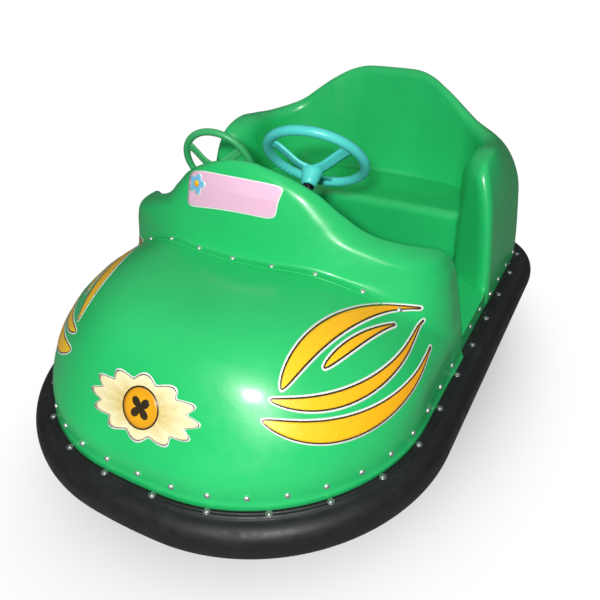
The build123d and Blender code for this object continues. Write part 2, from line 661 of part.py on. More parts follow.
os.makedirs("parts", exist_ok=True)
build()
for node, shape in NODES.items():
    if isinstance(shape, list):
        shape = Compound(children=shape)
    export_step(shape, f"parts/{node}.step")
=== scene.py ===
import bmesh, bpy
import numpy as np
from math import asin, atan2, hypot, pi, sin, sqrt
from mathutils import Matrix


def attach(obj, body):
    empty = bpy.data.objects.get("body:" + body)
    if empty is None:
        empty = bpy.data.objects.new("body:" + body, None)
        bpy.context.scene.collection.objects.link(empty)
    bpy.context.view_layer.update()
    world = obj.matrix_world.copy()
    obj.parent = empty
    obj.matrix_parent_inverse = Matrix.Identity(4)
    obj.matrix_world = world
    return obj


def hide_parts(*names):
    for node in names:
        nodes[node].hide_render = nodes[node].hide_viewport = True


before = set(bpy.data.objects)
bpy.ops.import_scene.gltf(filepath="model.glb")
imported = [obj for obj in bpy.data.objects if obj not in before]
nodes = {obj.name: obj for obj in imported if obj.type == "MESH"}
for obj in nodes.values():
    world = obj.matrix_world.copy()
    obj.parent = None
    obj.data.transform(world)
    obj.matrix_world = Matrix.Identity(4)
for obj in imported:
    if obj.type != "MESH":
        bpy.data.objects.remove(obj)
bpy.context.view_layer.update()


# ---- colour, nodes and meshes
def linear(code):
    """An sRGB hex colour as linear RGBA."""
    c = np.array([int(code[i:i + 2], 16) for i in (1, 3, 5)]) / 255
    return (*np.where(c <= 0.04045, c / 12.92, ((c + 0.055) / 1.055) ** 2.4), 1.0)


def add(tree, kind, settings=None, links=None):
    """A new node with its settings and links. A setting named after an input fills that
    input, any other is a property of the node; a link gives the output that feeds an input."""
    node = tree.nodes.new(kind)
    for key, value in (settings or {}).items():
        if isinstance(key, int) or key in node.inputs:
            node.inputs[key].default_value = value
        else:
            setattr(node, key, value)
    for key, source in (links or {}).items():
        tree.links.new(source, node.inputs[key])
    return node


def finish_of(name, **settings):
    """A new material: its node tree and its Principled shader with the given settings."""
    material = bpy.data.materials.new(name)
    material.use_nodes = True
    shader = material.node_tree.nodes["Principled BSDF"]
    for key, value in settings.items():
        shader.inputs[key.replace("_", " ").title()].default_value = value
    return material, material.node_tree, shader


def piece(name, grids, material, body, about=None, merge=0.0, wall=0.0):
    """One mesh from grids of points, each (points[i, j], closed along i, closed along j).
    Neighbouring points span a quad and every quad's UV is its place in its grid. The faces
    are turned outwards, seen from the point `about`; `merge` closes seams and poles, and
    `wall` thickens the mesh inwards."""
    points, faces, places, base = [], [], [], 0
    for grid, close_i, close_j in grids:
        rows, cols = grid.shape[:2]
        index = base + np.arange(rows * cols).reshape(rows, cols)
        i, j = np.meshgrid(np.arange(rows), np.arange(cols), indexing="ij")
        if close_i:
            index = np.concatenate([index, index[:1]])
            i, j = np.concatenate([i, i[:1] + rows]), np.concatenate([j, j[:1]])
        if close_j:
            index = np.concatenate([index, index[:, :1]], 1)
            i, j = np.concatenate([i, i[:, :1]], 1), np.concatenate([j, j[:, :1] + cols], 1)
        steps = (slice(None, -1), slice(1, None))
        corners = [(steps[a], steps[b]) for a, b in ((0, 0), (1, 0), (1, 1), (0, 1))]
        faces.append(np.stack([index[c] for c in corners], -1).reshape(-1, 4))
        uv = np.stack([i / (i.max() or 1), j / (j.max() or 1)], -1)
        places.append(np.stack([uv[c] for c in corners], 2).reshape(-1, 4, 2))
        points.append(grid.reshape(-1, 3))
        base += rows * cols
    points, faces, places = np.concatenate(points), np.concatenate(faces), np.concatenate(places)
    a, b, c, d = (points[faces[:, k]] for k in range(4))
    area = np.cross(c - a, d - b)
    centre = points.mean(0) if about is None else np.array(about)
    if ((area * ((a + b + c + d) / 4 - centre)).sum()) < 0:
        faces, places = faces[:, ::-1], places[:, ::-1]
    mesh = bpy.data.meshes.new(name)
    mesh.vertices.add(len(points))
    mesh.loops.add(faces.size)
    mesh.polygons.add(len(faces))
    mesh.vertices.foreach_set("co", points.astype(np.float32).ravel())
    mesh.loops.foreach_set("vertex_index", faces.astype(np.int32).ravel())
    mesh.polygons.foreach_set("loop_start", np.arange(0, faces.size, 4, dtype=np.int32))
    mesh.update(calc_edges=True)
    mesh.uv_layers.new(name="place").data.foreach_set("uv", places.astype(np.float32).ravel())
    mesh.polygons.foreach_set("use_smooth", np.ones(len(faces), dtype=bool))
    mesh.materials.append(material)
    if merge:
        work = bmesh.new()
        work.from_mesh(mesh)
        bmesh.ops.remove_doubles(work, verts=work.verts, dist=merge)
        bmesh.ops.dissolve_degenerate(work, edges=work.edges, dist=merge / 10)
        if len(grids) > 1:
            bmesh.ops.recalc_face_normals(work, faces=work.faces)
        work.to_mesh(mesh)
        work.free()
    obj = bpy.data.objects.new(name, mesh)
    bpy.context.scene.collection.objects.link(obj)
    if wall:
        solid = obj.modifiers.new("wall", "SOLIDIFY")
        solid.thickness, solid.offset = wall, -1.0
    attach(obj, body)
    return obj


def through(x, xs, ys):
    """Smooth curve through points: a cubic between neighbours, its slope at each point that
    of the parabola through it and the two beside it. ys may have columns."""
    xs, ys = np.asarray(xs, float), np.asarray(ys, float)
    ys = ys.reshape(len(xs), -1)
    h = np.diff(xs)[:, None]
    chord = np.diff(ys, axis=0) / h
    inner = (chord[:-1] * h[1:] + chord[1:] * h[:-1]) / (h[:-1] + h[1:])
    slope = np.vstack([chord[:1], inner, chord[-1:]])
    x = np.clip(np.asarray(x, float), xs[0], xs[-1])
    i = np.clip(np.searchsorted(xs, x) - 1, 0, len(h) - 1)
    t = ((x - xs[i]) / h[i, 0])[..., None]
    value = ((2 * t + 1) * (1 - t) ** 2 * ys[i] + t * (1 - t) ** 2 * h[i] * slope[i]
             + t * t * (3 - 2 * t) * ys[i + 1] + t * t * (t - 1) * h[i] * slope[i + 1])
    return value[..., 0] if ys.shape[1] == 1 else value


def ramp(x, a, b):
    """0 up to a, 1 from b, an S curve between them."""
    t = np.clip((x - a) / (b - a), 0, 1)
    return t * t * (3 - 2 * t)


def unit(v):
    """Vectors divided by their lengths."""
    return v / np.linalg.norm(v, axis=-1, keepdims=True)


def search(test, shape, far, steps=30):
    """For many rays at once, the distance at which test(distance) stops being true, halving
    the bracket from 0 to `far` at every step."""
    low, high = np.zeros(shape), np.full(shape, far)
    for _ in range(steps):
        middle = (low + high) / 2
        inside = test(middle)
        low, high = np.where(inside, middle, low), np.where(inside, high, middle)
    return (low + high) / 2


def with_height(plan, height):
    """Plan points or directions with a height as their third value."""
    return np.concatenate([plan, np.broadcast_to(height, plan.shape[:-1])[..., None]], -1)


MIRROR = np.array([-1.0, 1, 1])


# ---- the car's outline in plan
HALF_W, TIP = 0.560, 0.805                 # half width and half length; the rubber stands 17 mm out
NOSE_R, FRONT_R = 2.82 * HALF_W, 0.88 * HALF_W
TAIL_R, REAR_R, TAIL_HALF_W = 7.1 * HALF_W, 0.393 * HALF_W, 0.95 * HALF_W
NOSE_Y, TAIL_Y = NOSE_R - TIP, TIP - TAIL_R
FRONT_C = (HALF_W - FRONT_R, NOSE_Y - sqrt((NOSE_R - FRONT_R) ** 2 - (HALF_W - FRONT_R) ** 2))
REAR_C = (TAIL_HALF_W - REAR_R, TAIL_Y + sqrt((TAIL_R - REAR_R) ** 2 - (TAIL_HALF_W - REAR_R) ** 2))
GAP = (REAR_C[0] - FRONT_C[0], REAR_C[1] - FRONT_C[1])
# angle of the straight sides' normal, and the angles at which nose and tail meet the corners
SIDE = asin((FRONT_R - REAR_R) / hypot(*GAP)) - atan2(*GAP)
NOSE_ANGLE = atan2(FRONT_C[1] - NOSE_Y, FRONT_C[0])
TAIL_ANGLE = atan2(REAR_C[1] - TAIL_Y, REAR_C[0])
# one row for each of nose arc, corner, straight side, corner, tail arc
CENTRES = np.array([(0, NOSE_Y), FRONT_C, FRONT_C, REAR_C, (0, TAIL_Y)])
RADII = np.array([NOSE_R, FRONT_R, FRONT_R, REAR_R, TAIL_R])
STARTS = np.array([-pi / 2, NOSE_ANGLE, SIDE, SIDE, TAIL_ANGLE])
LENGTHS = np.array([NOSE_R * (NOSE_ANGLE + pi / 2), FRONT_R * (SIDE - NOSE_ANGLE),
                    sqrt(hypot(*GAP) ** 2 - (FRONT_R - REAR_R) ** 2),
                    REAR_R * (TAIL_ANGLE - SIDE), TAIL_R * (pi / 2 - TAIL_ANGLE)])
BEGINS = np.concatenate([[0], np.cumsum(LENGTHS)])
HALF_LOOP = BEGINS[-1]


def outline(s):
    """Plan points and outward normals of the outline at arc length s from the nose's middle,
    first along the car's left: five arcs and lines, each touching the next, then mirrored."""
    s = np.mod(np.asarray(s, float), 2 * HALF_LOOP)
    t = np.where(s > HALF_LOOP, 2 * HALF_LOOP - s, s)
    k = np.clip(np.searchsorted(BEGINS, t) - 1, 0, 4)
    run = t - BEGINS[k]
    angle = np.where(k == 2, SIDE, STARTS[k] + run / RADII[k])
    normal = np.stack([np.cos(angle), np.sin(angle)], -1)
    slide = np.where(k == 2, run, 0)[..., None] * np.array([-np.sin(SIDE), np.cos(SIDE)])
    point = CENTRES[k] + RADII[k][..., None] * normal + slide
    flip = np.where(s > HALF_LOOP, -1.0, 1.0)
    flip = np.stack([flip, np.ones_like(flip)], -1)
    return point * flip, normal * flip


def outline_gap(x, y):
    """How far a plan point of the rear half lies outside the outline."""
    x = np.abs(x)
    a, b = x - REAR_C[0], y - REAR_C[1]
    angle = np.arctan2(b, a)
    straight = a * np.cos(SIDE) + b * np.sin(SIDE) - REAR_R
    tail = np.hypot(x, y - TAIL_Y) - TAIL_R
    corner = np.hypot(a, b) - REAR_R
    return np.where(angle < SIDE, straight, np.where(angle > TAIL_ANGLE, tail, corner))


# ---- hood: nose dome and cowl in one skin
DOOR_FRONT, DOOR_BACK = -0.030, 0.280
HUB = np.array([0.0, 0.05, 0.25])          # every ray of the hood starts here
FAR = 1.4                                  # longer than any ray from the hub to the skin
FOOT = 0.239                               # height of the body's foot
FOOT_END = (0.507, 0.050)                  # the foot line ends this far beside and ahead of the hub
FOLD, FOLD_WIDE = 0.008, 0.070             # fillet between dome and cowl, and what the flanks add
FLARE, FLARE_TOP, FLARE_DEPTH = 0.006, 0.262, 0.024            # how far the foot turns out, and where
# columns: height, half width, front y, corner radius and nose radius as shares of half width
NOSE_TOP, COWL_TOP = 0.577, 0.802
NOSE = np.array([
    (0.238, 0.513, -0.758, 0.869, 3.00), (0.295, 0.511, -0.752, 0.860, 2.90),
    (0.360, 0.504, -0.717, 0.840, 2.68), (0.430, 0.459, -0.683, 0.870, 2.50),
    (0.485, 0.397, -0.650, 0.880, 2.40), (0.530, 0.328, -0.605, 0.900, 2.44),
    (0.558, 0.262, -0.543, 0.890, 2.48), (0.574, 0.197, -0.460, 0.860, 2.64),
    (0.577, 0.154, -0.405, 0.860, 2.80)])
COWL = np.array([
    (0.230, 0.507, -0.312, 0.26, 1.60), (0.480, 0.483, -0.299, 0.26, 1.66),
    (0.545, 0.471, -0.294, 0.26, 1.70), (0.583, 0.444, -0.289, 0.27, 1.80),
    (0.606, 0.390, -0.284, 0.29, 2.00), (0.640, 0.310, -0.278, 0.33, 2.30),
    (0.690, 0.249, -0.269, 0.36, 2.50), (0.740, 0.194, -0.259, 0.39, 2.80),
    (0.775, 0.130, -0.247, 0.44, 3.60), (0.794, 0.075, -0.236, 0.48, 4.60),
    (0.802, 0.012, -0.224, 0.48, 5.00)])


def level_gap(x, y, z, table, top):
    """How far a point lies outside the level section at its own height: a nose arc, two
    corner arcs and sides that taper backwards. The sections follow the square root of the
    depth below the top, which makes the top round."""
    depth = np.sqrt(np.maximum(top - z, 0))
    rows = table[::-1]
    half, front, corner, nose = np.moveaxis(
        through(depth, np.sqrt(top - rows[:, 0]), rows[:, 1:]), -1, 0)
    corner, nose = corner * half, nose * half
    centre = front + nose
    corner_x = half - corner
    corner_y = centre - np.sqrt((nose - corner) ** 2 - corner_x ** 2)
    x = np.abs(x)
    side = x - half + (y - corner_y) * sin(SIDE)
    round_corner = np.hypot(x - corner_x, y - corner_y) - corner
    front_arc = np.hypot(x, y - centre) - nose
    ahead = x * (centre - corner_y) < corner_x * (centre - y)
    gap = np.where(y > corner_y, side, np.where(ahead, front_arc, round_corner))
    return np.where(z > top, 1.0, gap)


def reach(rays, table, top):
    """Distance from the hub along unit rays to one of the two shapes."""
    def inside(distance):
        """Whether the points at these distances lie inside the shape."""
        p = HUB + distance[..., None] * rays
        return level_gap(p[..., 0], p[..., 1], p[..., 2], table, top) < 0
    return search(inside, rays.shape[:-1], FAR)


def hood(rays):
    """Points of the hood along unit rays: the farther of dome and cowl, with a soft maximum
    that fills their fold, tight at the middle and wide at the flanks. The foot flares out
    with the square of the depth below the flare's top."""
    dome, cowl = reach(rays, NOSE, NOSE_TOP), reach(rays, COWL, COWL_TOP)
    far = np.maximum(dome, cowl)
    aside, high = np.abs(far * rays[..., 0]), HUB[2] + far * rays[..., 2]
    fold = FOLD + FOLD_WIDE * ramp(aside, 0.26, 0.46) * ramp(high, 0.36, 0.54)
    near = np.clip(1 - np.abs(dome - cowl) / fold, 0, 1)
    point = HUB + (far + near ** 2 * fold / 4)[..., None] * rays
    flare = FLARE * np.clip((FLARE_TOP - point[..., 2]) / FLARE_DEPTH, 0, 1) ** 2
    return point + flare[..., None] * unit(rays * np.array([1, 1, 0]))


def hood_normals(rays):
    """Points of the hood and the outward normals there, from two more rays close by."""
    across = unit(np.cross(rays, [0.0, 0.3, 1.0]))
    up = np.cross(across, rays)
    step = 2e-3
    here, a, b = (hood(unit(rays + d)) for d in (0, step * across, step * up))
    normal = unit(np.cross(a - here, b - here))
    return here, normal * np.sign((normal * rays).sum(-1, keepdims=True))


# rear edge of the cowl from its crest to the doorway's front post, left half: x, y, z
EDGE = np.array([
    (0, -.231, .793), (.057, -.230, .789), (.116, -.225, .779), (.152, -.220, .766),
    (.175, -.215, .753), (.197, -.209, .738), (.220, -.203, .719), (.241, -.196, .698),
    (.263, -.187, .678), (.294, -.173, .652), (.325, -.156, .629), (.366, -.130, .610),
    (.405, -.100, .599), (.444, -.067, .583), (.460, -.052, .565), (.471, -.041, .546),
    (.478, -.033, .515)])


def between(a, b, t):
    """Unit rays turned evenly from a to b as t goes from 0 to 1."""
    angle = np.arccos(np.clip((a * b).sum(-1), -1, 1))[..., None]
    t = t[..., None]
    return (np.sin((1 - t) * angle) * a + np.sin(t * angle) * b) / np.sin(angle)


def foot_and_edge(u):
    """Rays to the foot line and to the rear edge, as u runs from the car's right doorway
    round the nose to the left one: evenly by angle on the foot, by length on the edge."""
    whole = np.concatenate([EDGE[:0:-1] * MIRROR, EDGE])
    length = np.concatenate([[0], np.cumsum(np.linalg.norm(np.diff(whole, axis=0), axis=1))])
    edge = unit(through(u * length[-1], length, whole) - HUB)
    swing = (u * 2 - 1) * atan2(*FOOT_END)
    level = np.stack([np.sin(swing), -np.cos(swing), np.zeros_like(swing)], -1)

    def inside(distance):
        """Whether the points at these distances lie inside the dome's foot."""
        p = HUB + distance[..., None] * level
        return level_gap(p[..., 0], p[..., 1], np.full_like(distance, FOOT), NOSE, NOSE_TOP) < 0
    foot = search(inside, u.shape, FAR)[:, None] * level + np.array([0, 0, FOOT - HUB[2]])
    return unit(foot), edge


def fold_rays(u, beyond):
    """Rays along the fold between dome and cowl, where the dome reaches `beyond` farther."""
    foot, edge = foot_and_edge(u)

    def below(t):
        """Whether the rays at t still pass below the fold."""
        rays = between(foot, edge, t)
        return reach(rays, NOSE, NOSE_TOP) - reach(rays, COWL, COWL_TOP) > beyond
    return between(foot, edge, search(below, u.shape, 1.0, steps=22))


def hood_skin(material):
    """Hood over a grid of rays whose rows lie a little closer towards the rear edge, then a
    lip that rolls in round that edge: an arc that starts along the skin, in the plane of its
    normal and its own direction."""
    u, v = np.linspace(0, 1, 221), np.linspace(0, 1, 111) ** 0.92
    foot, edge = foot_and_edge(u)
    rays = between(foot[:, None], edge[:, None], np.broadcast_to(v, (len(u), len(v))))
    skin = hood(rays)
    edge, normal = hood_normals(rays[:, -1])
    ahead = unit(edge - skin[:, -2])
    ahead = unit(ahead - (ahead * normal).sum(-1, keepdims=True) * normal)
    radius = 0.012
    turn = np.radians(np.linspace(12, 150, 12))[None, :, None]
    lip = edge[:, None] + radius * (np.sin(turn) * ahead[:, None] - (1 - np.cos(turn)) * normal[:, None])
    skin = np.concatenate([skin, lip], 1)
    return piece("hood_skin", [(skin, False, False)], material, "chassis", about=HUB, wall=0.005)


# ---- rear tub: arms and backrest in one double skin
SEAT_TOP, SEAT_FRONT, SEAT_BACK, WELL_HALF = 0.468, 0.372, 0.602, 0.355
SIDE_LEAN, BACK_LEAN = 0.05, 0.19          # what the seat space gains beside and behind each metre up
CORNER_R, CORNER_GROWTH = 0.11, 0.40       # its corners' radius at the seat, and what each metre adds
WELL_FOOT = 0.290                          # height of the inner side's foot
ARM_FRONT = DOOR_BACK + 0.004              # the arms' fronts slant in plan about their middle
ARM_SLANT, ARM_MIDDLE = 0.72, 0.42
# stations run straight back beside the seat up to 0, turn about the corner up to TURN and
# run straight inwards to the car's middle
CORNER, TURN = np.array([0.20, 0.45]), 0.30
MIDDLE = TURN + CORNER[0]
# columns: station, crest's distance from the station's origin, crest's height, exponent and
# depth of the outer shoulder, exponent and depth of the inner one
CREST = np.array([
    (-.166, .214, .648, 2.4, .176, 2.6, .050), (-.150, .217, .657, 2.4, .180, 2.6, .050),
    (-.130, .221, .667, 2.4, .184, 2.6, .050), (-.100, .224, .675, 2.4, .186, 2.6, .050),
    (-.050, .222, .679, 2.6, .180, 2.6, .050), (.000, .213, .672, 2.5, .172, 2.4, .045),
    (.0733, .197, .665, 2.1, .180, 2.1, .034), (.1333, .187, .674, 1.70, .200, 2.0, .030),
    (.1867, .181, .693, 1.40, .200, 2.0, .028), (.2433, .178, .728, 1.45, .180, 2.0, .026),
    (.300, .187, .763, 1.60, .150, 2.0, .024), (.350, .205, .789, 1.80, .120, 2.0, .024),
    (.400, .218, .803, 2.00, .100, 2.0, .024), (.450, .221, .806, 2.00, .098, 2.0, .024),
    (.500, .222, .806, 2.00, .098, 2.0, .024)])
# columns: height, how far the outer side stands inside the outline
INSET = np.array([(.238, .047), (.295, .047), (.450, .056), (.620, .073), (.830, .104)])


def cavity_gap(x, y, z):
    """How far a point lies outside the seat space: a rectangle with rounded rear corners,
    whose back leans and whose corners grow wider upwards."""
    rise = z - SEAT_TOP
    half, back = WELL_HALF + SIDE_LEAN * rise, SEAT_BACK + BACK_LEAN * rise
    radius = CORNER_R + CORNER_GROWTH * rise
    a, b = np.abs(x) - half + radius, y - back + radius
    return np.where((a > 0) & (b > 0), np.hypot(a, b), np.maximum(a, b)) - radius


def tub_sections(station, inward):
    """Points of upright sections of the left half, from the outer foot over the crest to the
    inner foot. A station has an origin and a heading in plan, and a point its distance and
    height there. Both shoulders are quarter superellipses between side and crest. `inward`
    moves both sides in and the crest down, for the rounded front of the arm."""
    turn = np.clip(station / TURN, 0, 1) * pi / 2
    origin = np.stack([np.where(station > TURN, MIDDLE - station, CORNER[0]),
                       CORNER[1] + np.minimum(station, 0)], -1)
    heading = np.stack([np.cos(turn), np.sin(turn)], -1)
    crest, top, n_out, deep_out, n_in, deep_in = np.moveaxis(
        through(station, CREST[:, 0], CREST[:, 1:]), -1, 0)
    top = top - 0.6 * inward
    widest, blend = 0.6, 0.03

    def plan(d):
        """Plan places at the distances d from each station's origin."""
        return origin[:, :1] + d * heading[:, :1], origin[:, 1:] + d * heading[:, 1:]

    def out_at(z):
        """Distances of the outer side: on the outline, moved in."""
        inset = through(z, INSET[:, 0], INSET[:, 1])
        return search(lambda d: outline_gap(*plan(d)) + inset < 0, z.shape, widest) - inward[:, None]

    def in_at(z):
        """Distances of the inner side: round the seat space, but at least 16 mm inside the
        crest and more below it, by a soft minimum."""
        d = search(lambda d: cavity_gap(*plan(d), z) < 0, z.shape, widest) + inward[:, None]
        cap = crest[:, None] - 0.016 - 0.10 * (top[:, None] - z)
        near = np.clip(1 - np.abs(d - cap) / blend, 0, 1)
        return np.minimum(d, cap) - near ** 2 * blend / 4

    q, rise = np.linspace(0, 1, 26)[None] * pi / 2, np.linspace(0, 1, 15)[None]
    low_out, low_in = (top - deep_out)[:, None], (top - deep_in)[:, None]
    side = FOOT + (low_out - FOOT) * rise[:, :-1]
    z1 = np.concatenate([side, low_out + deep_out[:, None] * np.sin(q) ** (2 / n_out[:, None])], 1)
    share = np.concatenate([np.ones_like(side), np.cos(q) ** (2 / n_out[:, None])], 1)
    d1 = crest[:, None] + (out_at(z1) - crest[:, None]) * share
    z2 = np.concatenate([low_in + deep_in[:, None] * np.cos(q) ** (2 / n_in[:, None]),
                         low_in + (WELL_FOOT - low_in) * rise[:, 1:]], 1)
    share = np.concatenate([np.sin(q) ** (2 / n_in[:, None]), np.ones_like(side)], 1)
    d2 = crest[:, None] + (in_at(z2) - crest[:, None]) * share
    d, z = np.concatenate([d1, d2[:, 1:]], 1), np.concatenate([z1, z2[:, 1:]], 1)
    x, y = plan(d)
    slant = ARM_SLANT * (1 - ramp(station, ARM_FRONT - CORNER[1] + 0.02, 0.0))
    return np.stack([x, y - slant[:, None] * (x - ARM_MIDDLE), z], -1)


def tub_skin(material):
    """Sections from the left arm's front round the back to the right arm's, then each arm's
    front face: its rim rolls in on a quarter arc and the middle is filled across."""
    roll, first = 0.042, ARM_FRONT - CORNER[1]
    turn = np.radians(np.linspace(90, 0, 9))
    station = np.concatenate([first + roll * (1 - np.sin(turn)),
                              np.linspace(first + roll + 0.002, 0, 26),
                              np.linspace(0, TURN, 49)[1:], np.linspace(TURN, MIDDLE, 33)[1:]])
    inward = np.concatenate([roll * (1 - np.cos(turn)), np.zeros(len(station) - len(turn))])
    half = tub_sections(station, inward)
    front = half[:1]
    across = np.linspace(0, 1, 9)[:, None, None]
    count = (front.shape[1] + 1) // 2
    face = front[:, :count] * (1 - across) + front[:, ::-1][:, :count] * across
    whole = np.concatenate([half, half[-2::-1] * MIRROR])
    grids = [(whole, False, False), (face, False, False), (face * MIRROR, False, False)]
    return piece("tub_skin", grids, material, "chassis", about=(0, .5, .27), merge=1e-5, wall=0.005)


def bench_skin(material):
    """Seat moulding: a front skirt, a rounded front edge and a dished seat, whose height
    rises in a hollow fillet wherever it comes near the arms or the backrest."""
    roll, fillet, dish = 0.026, 0.014, 0.005
    half, back = WELL_HALF + 0.004, SEAT_BACK + 0.006          # tucked in under arms and backrest
    bend = np.radians(np.linspace(0, 90, 13))
    skirt = np.linspace(0.297, SEAT_TOP - roll, 14)[:-1]
    seat = np.linspace(SEAT_FRONT + roll, back, 60)[1:]
    y = np.concatenate([np.full(len(skirt), SEAT_FRONT), SEAT_FRONT + roll * (1 - np.cos(bend)), seat])
    z = np.concatenate([skirt, SEAT_TOP - roll + roll * np.sin(bend), np.full(len(seat), SEAT_TOP)])
    lean = np.concatenate([np.zeros(len(skirt)), bend, np.full(len(seat), pi / 2)])
    u = np.linspace(-1, 1, 141)
    u = np.sign(u) * (1 - (1 - np.abs(u)) ** 1.5)
    over = np.clip(y - (back - CORNER_R), 0, CORNER_R)
    width = half - CORNER_R + np.sqrt(CORNER_R ** 2 - over ** 2)
    x = u[None, :] * width[:, None]
    y, z, lean = (np.repeat(a[:, None], len(u), 1) for a in (y, z, lean))
    level = lean > 1.5
    gap = np.maximum(-cavity_gap(x, y, np.full_like(x, SEAT_TOP)), 0)
    near = np.where(level, gap, np.maximum(WELL_HALF - np.abs(x), 0))
    rise = fillet * (1 - np.sqrt(1 - np.clip(1 - near / fillet, 0, 1) ** 2))
    sink = dish * ramp(near, 0.03, 0.16) * level * ramp(y, SEAT_FRONT + .03, SEAT_FRONT + .12)
    grid = np.stack([x, y - rise * np.cos(lean), z + rise * np.sin(lean) - sink], -1)
    return piece("bench_skin", [(grid, False, False)], material, "chassis", about=(0, .6, .2), wall=0.004)


# ---- rubber bumper
def bumper_rubber(material):
    """One closed section carried round the outline: an upper strip that slopes out with two
    fine ribs, a bulging face on a superellipse, and a back with an inner flange. Sections
    give the distance outside the outline, then the height."""
    t = np.linspace(0, 1, 31)
    ribs = sum(0.0016 * np.exp(-((t - c) / 0.07) ** 2) for c in (0.40, 0.70))
    strip = np.stack([-0.0465 + 0.0245 * t, 0.2385 - 0.0030 * t - 0.0052 * t ** 3 + ribs], -1)
    q = np.radians(np.linspace(74, -90, 44))
    middle, half, power = np.array([-0.0285, 0.1795]), np.array([0.0455, 0.0515]), 2 / 2.25
    swell = np.stack([np.abs(np.cos(q)) ** power, np.sign(np.sin(q)) * np.abs(np.sin(q)) ** power], -1)
    back = np.array([(-0.045, 0.1300), (-0.060, 0.1350), (-0.0615, 0.1380), (-0.0615, 0.20),
                     (-0.0615, 0.2365), (-0.059, 0.2385)])
    section = np.concatenate([strip, middle + half * swell, back])
    point, normal = outline(np.linspace(0, 2 * HALF_LOOP, 420, endpoint=False))
    plan = point[:, None] + section[None, :, :1] * normal[:, None]
    ring = with_height(plan, section[:, 1])
    return piece("bumper_rubber", [(ring, True, True)], material, "chassis", about=(0, 0, .18))


# ---- rivets
def domes(name, points, normals, material, radius, height, washer=0.0):
    """Rivet heads: a low dome, and a flat washer under it where it has one, turned from one
    profile about each rivet's own axis. The profile starts a little under the skin."""
    a = np.linspace(0, pi / 2, 5)
    foot, base = [(radius, -0.0015)], 0.0
    if washer:
        foot = [(washer, -0.0012), (washer, 0.0006), (washer - 0.0006, 0.0010), (radius, 0.0010)]
        base = 0.0009
    profile = np.concatenate([foot, np.stack([radius * np.cos(a), height * np.sin(a) + base], -1)])
    spin = np.linspace(0, 2 * pi, 12, endpoint=False)[None, :, None]
    side = unit(np.cross(normals, [0.31, 0.22, 0.93]))
    other = np.cross(normals, side)
    around = side[:, None] * np.cos(spin) + other[:, None] * np.sin(spin)
    grid = (points[:, None, None] + profile[None, None, :, :1] * around[:, :, None]
            + profile[None, None, :, 1:] * normals[:, None, None])
    return piece(name, [(g, True, False) for g in grid], material, "chassis", merge=1e-5)


def row_along(first, pitch):
    """Plan points and normals spaced evenly along the whole outline, from `first` on."""
    return outline(first + pitch * np.arange(int(2 * HALF_LOOP / pitch)))


# ---- steering wheels
YAW = np.radians(-8.0)                     # both columns turn this far about the upright


def wheel_frame(centre, elevation):
    """Middle and axes of a steering wheel: to the car's left, down in its plane, and along
    its column towards the rider."""
    lift = np.radians(elevation)
    axis = np.array([np.sin(YAW) * np.cos(lift), np.cos(YAW) * np.cos(lift), np.sin(lift)])
    across = np.array([np.cos(YAW), -np.sin(YAW), 0])
    return np.array(centre), across, np.cross(axis, across), axis


def placed(local, wheel):
    """Points given along a wheel's own axes, at their places in the car."""
    centre, across, down, axis = wheel
    return centre + local[..., :1] * across + local[..., 1:2] * down + local[..., 2:] * axis


def turned(radius, height, spin):
    """Profiles turned about the third axis: radius and height, as [i, j] or just [j], at the
    angle spin[i]."""
    plan = radius[..., None] * np.stack([np.cos(spin), np.sin(spin)], -1)[:, None]
    return with_height(plan, height)


